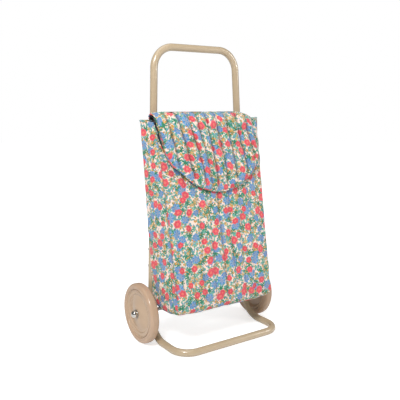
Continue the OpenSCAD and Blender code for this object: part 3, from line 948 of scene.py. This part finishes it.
def cut_in_two(piece, back_name, front_name):
    """Cuts a piece at the top of the arch and closes both cuts: the back and the front piece."""
    only(piece)
    bpy.ops.object.duplicate()
    other = bpy.context.object
    for half, name, behind in ((piece, back_name, True), (other, front_name, False)):
        choose(half, "FACE", lambda place, normal: True)
        bpy.ops.mesh.bisect(
            plane_co=(0, CUT_Y, 0), plane_no=(0, 1, 0), use_fill=True,
            clear_inner=behind, clear_outer=not behind,
        )
        bpy.ops.object.mode_set(mode="OBJECT")
        half.name = half.data.name = name
    return piece, other


for whole, finish, slot, back_name, front_name, solids in (
    (flap, flap_cotton, "floral_cotton", "flap_back_cloth", "flap_front_cloth",
     (["flap_top"], ["flap_front"])),
    (binding, flap_cotton, "binding_cotton", "flap_back_binding", "flap_front_binding",
     (["flap_top_binding"], ["flap_binding"])),
    (flap_lining, lining_cotton, "lining_cotton", "flap_back_lining", "flap_front_lining", ([], [])),
):
    back, front = cut_in_two(whole, back_name, front_name)
    settle(back, finish, stands_for=solids[0])
    settle(front, finish, stands_for=solids[1])
    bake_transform(back)
    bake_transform(front)

# %% [markdown]
# ## Tube sleeves
# Two strips of the print are sewn to the bag's back and make tunnels for the uprights. Each is
# a grid: flat along both edges, where it is stitched down, and round the tube between them. It
# leans with the upright.

# %% Sleeves
FLANGE_HALF = 13.5 * mm
TUBE_FOOT_Y, TUBE_LEAN = 28.36 * mm, math.tan(math.radians(1.5))
SLEEVE_RADIUS = 8.0 * mm
ROUND_SHARE = 0.62  # the share of the strip's width that goes round the tube
WRAP = math.radians(118)  # how far round it goes to each side
for side_name, sign in (("left", -1), ("right", 1)):
    low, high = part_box(f"{side_name}_tube_sleeve")
    outer, inner = (low.x, high.x) if sign < 0 else (high.x, low.x)
    foot_x = outer - sign * FLANGE_HALF
    head_x = inner + sign * FLANGE_HALF
    sleeve = start(f"{side_name}_sleeve_cloth", "grid", x_subdivisions=36, y_subdivisions=56, size=2)
    grid = places_of(sleeve)
    turn = grid[:, 0]
    up = (grid[:, 1] + 1) / 2
    z = mix(low.z, high.z, up)
    round_it = np.clip(turn / ROUND_SHARE, -1, 1) * WRAP
    bulge = np.abs(turn) < ROUND_SHARE
    tube = SLEEVE_RADIUS + 0.35 * mm * np.sin(up * 31 + turn * 3)
    flange = np.sign(turn) * (7.0 * mm + np.clip(np.abs(turn) - ROUND_SHARE, 0, 1) * 12 * mm)
    local_x = np.where(bulge, np.sin(round_it) * tube, flange)
    local_y = np.where(bulge, np.cos(round_it) * tube, math.cos(WRAP) * SLEEVE_RADIUS)
    local_y -= 1.5 * mm * ease(ROUND_SHARE, 0.8, np.abs(turn))
    centre_y = TUBE_FOOT_Y + TUBE_LEAN * z
    put_places(sleeve, np.stack([mix(foot_x, head_x, up) + local_x, centre_y + local_y, z], 1))
    points, _ = corners_of(sleeve)
    lay_cloth(sleeve, np.stack([turn[points] * 0.026 + 5 + sign, z[points]], 1))
    only(sleeve)
    bpy.ops.object.mode_set(mode="EDIT")
    bpy.ops.mesh.select_all(action="SELECT")
    bpy.ops.mesh.flip_normals()
    bpy.ops.object.mode_set(mode="OBJECT")
    thicken(sleeve, 0.9 * mm)
    settle(sleeve, bag_cotton, "frame", [f"{side_name}_tube_sleeve"])

# %% [markdown]
# ## Closing patches
# A patch of loop tape is sewn to the bag and a patch of hook tape to the flap. Each starts as a
# thin block with round corners, and its face is inset and pushed down a little inside the sewn
# border.

# %% Patches
for node_name, name, body, facing in (
    ("bag_patch", "bag_loop_tape", "frame", -1),
    ("flap_patch", "flap_hook_tape", "flap_front", 1),
):
    low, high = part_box(node_name)
    tape = start(name, "cube", size=1, location=(low + high) / 2)
    tape.scale = (high.x - low.x, 1.2 * mm, high.z - low.z)
    tape.rotation_euler.x = -math.radians(10.55 if body == "frame" else 7.0)
    bpy.ops.object.transform_apply(location=False, rotation=False, scale=True)
    choose(tape, "EDGE", lambda a, b: abs(a.y - b.y) > 0.5 * mm)
    bpy.ops.mesh.bevel(offset=3 * mm, segments=5)
    choose(tape, "FACE", lambda place, normal: normal.y * facing > 0.9)
    bpy.ops.mesh.inset(thickness=1.3 * mm, depth=0)
    bpy.ops.mesh.inset(thickness=0.3 * mm, depth=-0.25 * mm)
    bpy.ops.object.mode_set(mode="OBJECT")
    settle(tape, closing_tape, body, [node_name], sharp=30)

# %% [markdown]
# ## Wheels
# Disc and tyre are turned shapes, so each is one outline spun round the axle. The tyre is a
# round-shouldered ring that is set on the disc, with a lip where they meet. The disc has a flat
# ring, a rounded step down to a face that rises to the middle, and a hub that is hollow on the
# inner side. The left wheel is made first, and the right one is its mirror image.

# %% Spin an outline round the axle
wheel_low, wheel_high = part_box("left_tyre")
wheel_middle = (wheel_low + wheel_high) / 2
wheel_radius = (wheel_high.z - wheel_low.z) / 2
tyre_half = (wheel_high.x - wheel_low.x) / 2


def rounded(points, radius, steps=4):
    """An outline of (out, radius) points with its inner corners rounded."""
    line = [np.array(p, float) for p in points]
    done = [line[0]]
    for before, here, after in zip(line, line[1:], line[2:]):
        reach = min(radius, np.linalg.norm(before - here) / 2.2, np.linalg.norm(after - here) / 2.2)
        a = here + (before - here) / np.linalg.norm(before - here) * reach
        b = here + (after - here) / np.linalg.norm(after - here) * reach
        for i in range(steps + 1):
            t = i / steps
            done.append((1 - t) ** 2 * a + 2 * t * (1 - t) * here + t**2 * b)
    return [*done, line[-1]]


def spun(name, outline):
    """A turned piece round the left wheel's axle from an outline in millimetres."""
    piece = start(name, "plane", size=1 * mm, location=(0, 0, 0))
    choose(piece, "VERT", lambda v: True)
    bpy.ops.mesh.merge(type="CENTER")
    outline = [(-p[0] * mm, p[1] * mm) for p in outline]
    bpy.ops.transform.translate(value=(outline[0][0], 0, outline[0][1]))
    for before, here in zip(outline, outline[1:]):
        move = (here[0] - before[0], 0, here[1] - before[1])
        bpy.ops.mesh.extrude_region_move(TRANSFORM_OT_translate={"value": move})
    bpy.ops.mesh.select_all(action="SELECT")
    bpy.ops.mesh.remove_doubles(threshold=1e-7)
    bpy.ops.mesh.spin(steps=96, angle=2 * math.pi, center=(0, 0, 0), axis=(1, 0, 0))
    bpy.ops.mesh.select_all(action="SELECT")
    bpy.ops.mesh.remove_doubles(threshold=1e-6)
    bpy.ops.mesh.normals_make_consistent(inside=False)
    bpy.ops.object.mode_set(mode="OBJECT")
    piece.location = wheel_middle
    return piece


# %% Both wheels
R, H = wheel_radius / mm, tyre_half / mm
tyre_outline = rounded([
    (0, R - 10.9), (-H + 1.0, R - 10.9), (-H, R - 9.5), (-H, R - 3.0), (-H + 3.5, R), (0, R),
    (H - 3.5, R), (H, R - 3.0), (H, R - 9.0), (H - 1.6, R - 10.9), (0, R - 10.9),
], 4.5, 6)
disc_outline = rounded([
    (0, 5.1), (-9.3, 5.1), (-9.3, 10), (4.4, 10), (-0.1, 34.6), (-7.2, 38.6), (-7.3, 42.8), (0, 42.8),
    (H - 1.1, 42.8), (H - 0.6, 42.3), (H - 0.9, 41.2), (H - 2.4, 40.8), (H - 2.9, 35.4), (H - 4.7, 33.6),
    (H - 4.6, 31), (H + 0.6, 10), (H + 1.1, 8.5), (H + 1.1, 5.1), (0, 5.1),
], 0.8, 4)
for name, outline, finish, slot in (
    ("tyre_ring", tyre_outline, tyre_plastic, "tyre_beige"),
    ("wheel_face", disc_outline, disc_plastic, "disc_beige"),
):
    solid = "tyre" if name == "tyre_ring" else "wheel_disc"
    left = spun(f"left_{name}", outline)
    settle(left, finish, "left_wheel", [f"left_{solid}"], sharp=40)
    only(left)
    bpy.ops.object.duplicate()
    right = bpy.context.object
    right.name = right.data.name = f"right_{name}"
    right.parent = None
    only(right)
    bpy.ops.object.mode_set(mode="EDIT")
    bpy.ops.mesh.select_all(action="SELECT")
    bpy.ops.transform.resize(value=(-1, 1, 1), center_override=(0, 0, 0))
    bpy.ops.mesh.normals_make_consistent(inside=False)
    bpy.ops.object.mode_set(mode="OBJECT")
    settle(right, finish, "right_wheel", [f"right_{solid}"], sharp=40)

# %% [markdown]
# ## Size
# The modelled trolley should stay as big as its solids, give or take what cloth stands proud; its visual
# size is printed.

# %% Sizes and the end
low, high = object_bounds()
print("visual size in mm:", [round((b - a) / mm, 1) for a, b in zip(low, high)])
